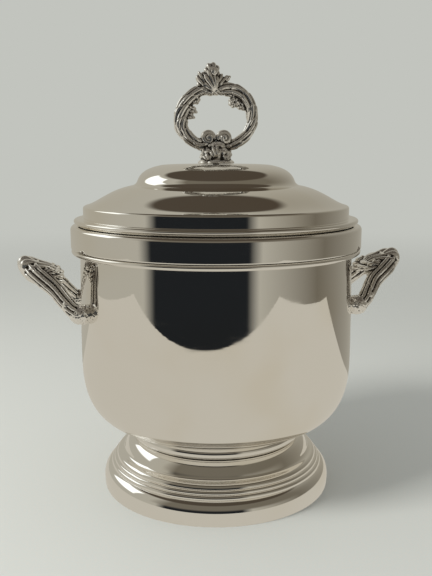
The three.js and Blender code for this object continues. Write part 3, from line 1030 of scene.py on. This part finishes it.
def handle_shells():
    """The right handle: a loop of two ribbed arms, grained bosses at its roots and a broad ribbed leaf.

    Places are worked out from the handle's own box.
    """
    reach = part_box("handle_right")[1].x / MM
    half_span, root_height, leaf_height = 25.0, 115.5, 138.4
    arm = [
        (-43.4, half_span - 0.8, root_height - 0.5),
        (-34.0, half_span, root_height + 1.0),
        (-29.0, half_span - 3.5, root_height + 6.0),
        (-23.5, half_span - 8.0, root_height + 12.5),
        (-16.5, half_span - 11.0, root_height + 18.5),
        (-11.0, half_span - 17.0, root_height + 22.0),
    ]
    middle = [(-9.5, 0, leaf_height)]
    points = np.array(arm + middle + [(x, -y, z) for x, y, z in arm[::-1]]) + (reach, 0, 0)
    plane_tilt = np.radians(36)
    facing = (-np.sin(plane_tilt), 0, np.cos(plane_tilt))
    shells = [swept(
        smooth_path(points, 420), facing,
        lambda share: (4.4 + 1.3 * np.sin(np.pi * share) ** 2, 4.0 + 1.1 * np.sin(np.pi * share) ** 2),
        leafy_ribs(ribs=9, rib_depth=0.30, twist=0.5, leaves=9, leaf_depth=0.06),
        columns=128, blunt=0.02,
    )]

    leaf_tilt = np.radians(22)
    along, sideways, thick = 13.4, 13.8, 8.4

    def scooped(points):
        """The upper side is pressed in along the middle, and the outer rim turns up."""
        u, v = points[..., 0] / along, points[..., 1] / sideways
        upper = ease(points[..., 2], 0, 2.5)
        dip = -3.4 * upper * np.exp(-((u - 0.1) ** 2 + v ** 2) / 0.35)
        lift = 1.4 * ease(u, 0.2, 1.0)
        return points + np.stack([0 * dip, 0 * dip, dip + lift], axis=-1)

    shells.append(lobed(
        (along, sideways, thick), (reach - along + 0.4, 0, leaf_height - 0.8),
        shell_leaf(11, 0.2), tilt=leaf_tilt, rows=120, columns=170, bend=scooped,
    ))
    for side in (-1, 1):
        root = reach - 37.5
        shells.append(lobed((7.6, 6.8, 6.4), (root, side * half_span, root_height - 0.5), grained))
        shells.append(lobed(
            (4.6, 3.6, 3.4), (root + 7.5, side * (half_span - 0.5), root_height + 3.6),
            petals(5, 0.18), tilt=0.9,
        ))
        shells.append(lobed(
            (7.0, 5.0, 4.8), (reach - 21.5, side * 10.6, leaf_height - 3.4),
            fan((0.9, -0.2), 9, 0.24), tilt=0.62,
        ))
    shells.append(lobed(
        (8.6, 9.6, 3.6), (reach - 20.0, 0, leaf_height - 1.6), petals(9, 0.24), tilt=0.42,
    ))
    return shells


def mirrored(mesh):
    """A copy of a mesh turned half round the Z axis, for the other handle."""
    copy = mesh.copy()
    points = np.empty(len(copy.vertices) * 3)
    copy.vertices.foreach_get("co", points)
    points = points.reshape(-1, 3) * (-1, -1, 1)
    copy.vertices.foreach_set("co", points.ravel())
    copy.update()
    return copy


# ---------- operators, one for each piece or group of like pieces ----------


class PieceOperator:
    """What the operators that make pieces share."""

    bl_options = {"REGISTER", "UNDO"}


class ICEBUCKET_OT_bowl(PieceOperator, bpy.types.Operator):
    """Make the bowl, its collar and the bead under the collar"""

    bl_idname = "icebucket.bowl"
    bl_label = "Bowl and collar"

    def execute(self, context):
        wall = context.scene.ice_bucket_sizes.bowl_wall / MM
        silver = "silver_plate"
        place_turned(context, "bowl", bowl_outline(wall), "outer_shell", "bucket", silver)
        place_turned(context, "collar", collar_outline(), "rim_collar", "bucket", silver)
        place_turned(
            context, "collar_wire", collar_bead_outline(), "collar_bead", "bucket", silver,
        )
        return {"FINISHED"}


class ICEBUCKET_OT_foot(PieceOperator, bpy.types.Operator):
    """Make the spun foot and the ring between it and the bowl"""

    bl_idname = "icebucket.foot"
    bl_label = "Foot and neck"

    def execute(self, context):
        silver = "silver_plate"
        place_turned(context, "spun_foot", foot_outline(), "foot", "bucket", silver)
        place_turned(context, "neck", neck_outline(), "neck_ring", "bucket", silver)
        return {"FINISHED"}


class ICEBUCKET_OT_fasteners(PieceOperator, bpy.types.Operator):
    """Make the bolt, nut, washers and screw that hold the foot and the finial"""

    bl_idname = "icebucket.fasteners"
    bl_label = "Fasteners"

    def execute(self, context):
        steel = "steel_hardware"
        head_radius, low, high = extent("foot_bolt")
        head = hexagon(head_radius, high - 4.0, high)
        thread = threaded(3.9, 1.25, low + 0.8, high - 10.0)
        place_turned(
            context, "hex_bolt", bolt_outline(), "foot_bolt", "bucket", steel,
            trim=both(head, thread), uneven=False, round_edges=False,
        )
        nut_radius, low, high = extent("foot_nut")
        place_turned(
            context, "hex_nut", ring_outline("foot_nut", 4.2), "foot_nut", "bucket", steel,
            trim=hexagon(nut_radius, low, high), uneven=False, round_edges=False,
        )
        _, low, high = extent("finial_screw")
        place_turned(
            context, "dome_screw", screw_outline(), "finial_screw", "lid", steel,
            trim=threaded(2.2, 0.8, low + 3.6, high - 0.6), uneven=False, round_edges=False,
        )
        for node, bore, body in (("foot_washer", 4.3, "bucket"), ("finial_washer", 2.6, "lid")):
            place_turned(
                context, "flat_" + node, ring_outline(node, bore), node, body, steel,
                uneven=False,
            )
        return {"FINISHED"}


class ICEBUCKET_OT_insulation(PieceOperator, bpy.types.Operator):
    """Make the foam sleeve, the cork disc and the foam in the lid"""

    bl_idname = "icebucket.insulation"
    bl_label = "Insulation"

    def execute(self, context):
        sleeve = ring_outline("insulation_sleeve", 74.6)
        place_turned(
            context, "foam_sleeve", sleeve, "insulation_sleeve", "bucket", "insulation_foam",
            uneven=False,
        )
        place_turned(
            context, "cork_disc", cork_outline(), "insulation_base", "bucket", "cork_pad",
            uneven=False,
        )
        place_turned(
            context, "lid_foam", lid_foam_outline(), "lid_insulation", "lid", "insulation_foam",
            uneven=False,
        )
        return {"FINISHED"}


class ICEBUCKET_OT_liner(PieceOperator, bpy.types.Operator):
    """Make the glass liner and the seal that it rests on"""

    bl_idname = "icebucket.liner"
    bl_label = "Liner and seal"

    def execute(self, context):
        place_turned(
            context, "glass_liner", liner_outline(), "liner", "liner", "liner_glass",
            uneven=False,
        )
        seal = ring_outline("liner_gasket", 78.5)
        place_turned(
            context, "seal_ring", seal, "liner_gasket", "bucket", "gasket_rubber", uneven=False,
        )
        return {"FINISHED"}


class ICEBUCKET_OT_lid(PieceOperator, bpy.types.Operator):
    """Make the lid and the dish that closes its underside"""

    bl_idname = "icebucket.lid"
    bl_label = "Lid"

    def execute(self, context):
        silver = "silver_plate"
        place_turned(context, "lid_cover", lid_outline(), "lid_shell", "lid", silver)
        place_turned(context, "lid_pan", lid_pan_outline(), "lid_inner_pan", "lid", silver)
        return {"FINISHED"}


class ICEBUCKET_OT_finial(PieceOperator, bpy.types.Operator):
    """Cast the ring finial with its scrolls, buds and leaf crest"""

    bl_idname = "icebucket.finial"
    bl_label = "Finial"

    def execute(self, context):
        voxel = context.scene.ice_bucket_sizes.casting_voxel
        mesh = cast_in_one("ring_finial", finial_shells(), voxel)
        place_piece(context, "ring_finial", mesh, "finial", "lid", "cast_silver")
        return {"FINISHED"}


class ICEBUCKET_OT_handles(PieceOperator, bpy.types.Operator):
    """Cast the two loop handles"""

    bl_idname = "icebucket.handles"
    bl_label = "Handles"

    def execute(self, context):
        voxel = 1.25 * context.scene.ice_bucket_sizes.casting_voxel
        right = cast_in_one("right_handle", handle_shells(), voxel)
        left = mirrored(right)
        left.name = "left_handle"
        place_piece(context, "right_handle", right, "handle_right", "bucket", "cast_silver")
        place_piece(context, "left_handle", left, "handle_left", "bucket", "cast_silver")
        return {"FINISHED"}


# ---------- stage ----------

# The plain studio that the mirror surfaces reflect: pale walls, a dark screen in front, a dim
# ceiling and one soft box. Azimuths are in degrees from the camera's side, plus to its right.
WALL = "#aaa69a"
SHADED_WALL = "#6c665a"
SCREEN = "#1e2022"
LEVEL_TONES = [
    (-180, WALL), (-60, WALL), (-50, SCREEN), (25, SCREEN), (35, WALL), (90, SHADED_WALL), (180, WALL),
]
RAISED_TONES = [(-180, WALL), (-70, WALL), (-50, SHADED_WALL), (90, SHADED_WALL), (180, WALL)]
CEILING = "#4a4238"
CEILING_FROM = 47.0
CEILING_SOFTNESS = 3.0
BOX_SOFTNESS = 2.0
RAISED_ELEVATIONS = (8.0, 20.0)
SOFT_BOX = "#f0f2ee"
SOFT_BOX_LIMITS = (-130.0, -90.0, 15.0, 40.0)
SOFT_BOX_STRENGTH = 1.5
EVEN_LIGHT = "#fafbf8"
EVEN_LIGHT_STRENGTH = 0.54
REFLECTED_TABLE = "#bdb8ac"
PLATE_REFLECTANCE = 0.93
# How far the reflected table reaches from the bucket in metres, and which way its front faces.
TABLE_FRONT = 0.50
TABLE_BACK = 0.224
TABLE_SIDE = 0.8
TABLE_AZIMUTH = -8.5
TABLE_EDGE_SOFTNESS = 0.002
TABLE_FADE = (0.4, 1.7)
CAMERA_DISTANCE = 0.4605
CAMERA_HEIGHT = 0.2056
CAMERA_PITCH = 10.11
CAMERA_LENS = 46.875


def from_camera_side(azimuth, camera_turn):
    """The level direction at an azimuth in degrees from the camera's side, plus to its right."""
    angle = np.radians(azimuth - 90) - camera_turn
    return np.array([np.cos(angle), np.sin(angle), 0.0])


def between(tree, value, low, high, soft):
    """1 where a value lies between two limits, 0 outside, with soft edges."""
    rising = ranged(tree, value, low - soft, low + soft, 0.0, 1.0)
    falling = ranged(tree, value, high - soft, high + soft, 1.0, 0.0)
    return calculated(tree, "MULTIPLY", rising, falling)


def tone_ramp(tree, place, tones):
    """The colours of a list of tones, blended from one azimuth to the next.

    place goes from 0 at the first azimuth to 1 at the last.
    """
    ramp = add_node(tree, "ValToRGB", inputs={"Fac": place})
    elements = ramp.color_ramp.elements
    first, last = tones[0][0], tones[-1][0]
    for azimuth, colour in tones[1:-1]:
        elements.new((azimuth - first) / (last - first)).color = rgba(linear(colour))
    elements[0].color = rgba(linear(tones[0][1]))
    elements[-1].color = rgba(linear(tones[-1][1]))
    return ramp.outputs["Color"]


def turn_share(tree, x, y, camera_turn):
    """The azimuth of a level direction as a share of a turn.

    0.5 is the camera's side, and more is to its right.
    """
    polar = calculated(tree, "ARCTAN2", y, x)
    turns = calculated(tree, "DIVIDE", polar, FULL_TURN)
    return calculated(tree, "FRACT", calculated(tree, "ADD", turns, 1.75 + camera_turn / FULL_TURN))


def light_the_room(context, colours, camera_turn):
    """A plain pale wall to look at, soft even light, and a plain studio to reflect."""
    world = bpy.data.worlds.new("studio")
    context.scene.world = world
    world.use_nodes = True
    tree = world.node_tree
    tree.nodes.clear()
    direction = add_node(tree, "TexCoord").outputs["Generated"]
    x, y, z = add_node(tree, "SeparateXYZ", inputs={0: direction}).outputs
    round_place = turn_share(tree, x, y, camera_turn)
    azimuth = calculated(tree, "MULTIPLY", calculated(tree, "SUBTRACT", round_place, 0.5), 360.0)
    elevation = calculated(tree, "MULTIPLY", calculated(tree, "ARCSINE", z), 360 / FULL_TURN)

    raised = ranged(tree, elevation, *RAISED_ELEVATIONS, 0.0, 1.0)
    room = mixed(
        tree, raised, tone_ramp(tree, round_place, LEVEL_TONES),
        tone_ramp(tree, round_place, RAISED_TONES),
    )
    overhead = ranged(
        tree, elevation, CEILING_FROM - CEILING_SOFTNESS, CEILING_FROM + CEILING_SOFTNESS, 0.0, 1.0,
    )
    room = mixed(tree, overhead, room, rgba(linear(CEILING)))
    left_edge, right_edge, bottom_edge, top_edge = SOFT_BOX_LIMITS
    in_box = calculated(
        tree, "MULTIPLY", between(tree, azimuth, left_edge, right_edge, BOX_SOFTNESS),
        between(tree, elevation, bottom_edge, top_edge, BOX_SOFTNESS),
    )

    plain_room = add_node(
        tree, "Background", inputs={"Color": room, "Strength": 1 / PLATE_REFLECTANCE},
    ).outputs[0]
    soft_box = add_node(
        tree, "Background", inputs={"Color": rgba(linear(SOFT_BOX)), "Strength": SOFT_BOX_STRENGTH},
    ).outputs[0]
    reflected = add_node(tree, "MixShader", inputs={0: in_box, 1: plain_room, 2: soft_box}).outputs[0]
    wall = add_node(
        tree, "Background", inputs={"Color": rgba(colours.backdrop), "Strength": 1.0},
    ).outputs[0]
    even = add_node(
        tree, "Background",
        inputs={"Color": rgba(linear(EVEN_LIGHT)), "Strength": EVEN_LIGHT_STRENGTH},
    ).outputs[0]
    path = add_node(tree, "LightPath").outputs
    lit = add_node(
        tree, "MixShader", inputs={0: path["Is Glossy Ray"], 1: even, 2: reflected},
    ).outputs[0]
    shown = add_node(
        tree, "MixShader", inputs={0: path["Is Camera Ray"], 1: lit, 2: wall},
    ).outputs[0]
    add_node(tree, "OutputWorld", inputs={"Surface": shown})


def table_material(colours, camera_turn):
    """Pale laminate that fades into the wall far off.

    Reflections see it as a painted reflection: one plain glowing tone, only as wide and deep as a table
    is.
    """
    material, tree, place = new_material("pale_laminate")
    speckle = noise(tree, place, 700.0, 2.0)
    paler = rgba(linear("#d9dad6"))
    colour = mixed(tree, ranged(tree, speckle, 0.4, 0.65, 0.0, 1.0), rgba(colours.floor), paler)
    top = add_node(
        tree, "BsdfPrincipled",
        inputs={"Base Color": colour, "Roughness": 0.5, "Specular IOR Level": 0.25},
    ).outputs["BSDF"]
    distance = add_node(
        tree, "VectorMath", {"operation": "LENGTH"}, {0: place},
    ).outputs["Value"]
    wall = add_node(tree, "Emission", inputs={"Color": rgba(colours.backdrop)}).outputs[0]
    fade = ranged(tree, distance, *TABLE_FADE, 0.0, 1.0)
    surface = add_node(tree, "MixShader", inputs={0: fade, 1: top, 2: wall}).outputs[0]

    # Painted reflection: glossy rays see the table glow with one plain tone instead of the lit laminate.
    reflected = add_node(
        tree, "Emission",
        inputs={"Color": rgba(linear(REFLECTED_TABLE)), "Strength": 1 / PLATE_REFLECTANCE},
    ).outputs[0]
    forward = from_camera_side(TABLE_AZIMUTH, camera_turn)
    depth = add_node(
        tree, "VectorMath", {"operation": "DOT_PRODUCT"}, {0: place, 1: tuple(forward)},
    ).outputs["Value"]
    aside = from_camera_side(TABLE_AZIMUTH + 90, camera_turn)
    offset = add_node(
        tree, "VectorMath", {"operation": "DOT_PRODUCT"}, {0: place, 1: tuple(aside)},
    ).outputs["Value"]
    on_table = calculated(
        tree, "MULTIPLY", between(tree, depth, -TABLE_BACK, TABLE_FRONT, TABLE_EDGE_SOFTNESS),
        between(tree, offset, -TABLE_SIDE, TABLE_SIDE, TABLE_EDGE_SOFTNESS),
    )
    nothing = add_node(tree, "BsdfTransparent").outputs[0]
    mirrored_table = add_node(
        tree, "MixShader", inputs={0: on_table, 1: nothing, 2: reflected},
    ).outputs[0]
    glossy = add_node(tree, "LightPath").outputs["Is Glossy Ray"]
    shader = add_node(
        tree, "MixShader", inputs={0: glossy, 1: surface, 2: mirrored_table},
    ).outputs[0]
    finish_with(tree, shader)
    return material


def round_table(context, material, radius=6.0):
    """A level disc in rings that grow outwards, computed as one grid from the middle."""
    angle = np.linspace(0, FULL_TURN, 96, endpoint=False)[None, :]
    distance = (radius * np.linspace(0, 1, 24) ** 2)[:, None]
    grid = np.stack(
        [distance * np.cos(angle), distance * np.sin(angle), 0 * distance * angle], axis=-1,
    )
    points, quads, triangles = welded(grid.reshape(-1, 3) / MM, grid_faces(24, 96, False))
    mesh = mesh_from("table", points, quads, triangles)
    mesh.materials.append(material)
    table = bpy.data.objects.new("table", mesh)
    context.scene.collection.objects.link(table)
    return table


def soft_light(context, name, azimuth, elevation, distance, size, watts, camera_turn):
    """A square soft light aimed at the middle of the bucket, which the silver doesn't reflect."""
    lamp = bpy.data.lights.new(name, "AREA")
    lamp.shape = "SQUARE"
    lamp.size = size
    lamp.energy = watts
    lamp.color = linear("#fffdf8")
    light = bpy.data.objects.new(name, lamp)
    away = from_camera_side(azimuth, camera_turn) * np.cos(np.radians(elevation))
    away[2] = np.sin(np.radians(elevation))
    middle = np.array([0, 0, 0.12])
    light.location = middle + distance * away
    aim = np.arctan2(-away[1], -away[0])
    light.rotation_euler = (np.radians(90 - elevation), 0, aim - np.pi / 2)
    light.visible_glossy = False
    context.scene.collection.objects.link(light)
    return light


class ICEBUCKET_OT_stage(PieceOperator, bpy.types.Operator):
    """Make the pale table, the soft light and the camera"""

    bl_idname = "icebucket.stage"
    bl_label = "Table, light and camera"

    def execute(self, context):
        colours = context.scene.ice_bucket_colours
        camera_turn = context.scene.ice_bucket_sizes.camera_turn
        round_table(context, table_material(colours, camera_turn))
        light_the_room(context, colours, camera_turn)
        soft_light(context, "window_light", -58, 38, 1.5, 0.5, 17.0, camera_turn)
        lens = bpy.data.cameras.new("camera")
        lens.lens = CAMERA_LENS
        lens.sensor_width = 36.0
        camera = bpy.data.objects.new("camera", lens)
        side = from_camera_side(0, camera_turn)
        camera.location = CAMERA_DISTANCE * side + (0, 0, CAMERA_HEIGHT)
        camera.rotation_euler = (np.radians(90 - CAMERA_PITCH), 0, -camera_turn)
        context.scene.collection.objects.link(camera)
        context.scene.camera = camera
        context.scene.view_settings.view_transform = "Standard"
        return {"FINISHED"}


OPERATORS = (
    ICEBUCKET_OT_bowl,
    ICEBUCKET_OT_foot,
    ICEBUCKET_OT_fasteners,
    ICEBUCKET_OT_insulation,
    ICEBUCKET_OT_liner,
    ICEBUCKET_OT_lid,
    ICEBUCKET_OT_finial,
    ICEBUCKET_OT_handles,
    ICEBUCKET_OT_stage,
)


class ICEBUCKET_PT_sidebar(bpy.types.Panel):
    """Lists the bucket's pieces and the sizes and colours that they are made to"""

    bl_idname = "ICEBUCKET_PT_sidebar"
    bl_label = "Ice Bucket"
    bl_space_type = "VIEW_3D"
    bl_region_type = "UI"
    bl_category = "Ice Bucket"

    def draw(self, context):
        for group in (context.scene.ice_bucket_sizes, context.scene.ice_bucket_colours):
            column = self.layout.column()
            for name in group.__annotations__:
                column.prop(group, name)
        for operator in OPERATORS:
            self.layout.operator(operator.bl_idname)


CLASSES = (IceBucketSizes, IceBucketColours, *OPERATORS, ICEBUCKET_PT_sidebar)


def register():
    for each in CLASSES:
        bpy.utils.register_class(each)
    bpy.types.Scene.ice_bucket_sizes = bpy.props.PointerProperty(type=IceBucketSizes)
    bpy.types.Scene.ice_bucket_colours = bpy.props.PointerProperty(type=IceBucketColours)


def unregister():
    del bpy.types.Scene.ice_bucket_colours
    del bpy.types.Scene.ice_bucket_sizes
    for each in reversed(CLASSES):
        bpy.utils.unregister_class(each)


def main():
    register()
    for operator in OPERATORS:
        name = operator.bl_idname.split(".")[1]
        result = getattr(bpy.ops.icebucket, name)()
        if result != {"FINISHED"}:
            raise RuntimeError(operator.bl_label + " wasn't made")


if __name__ == "__main__":
    main()
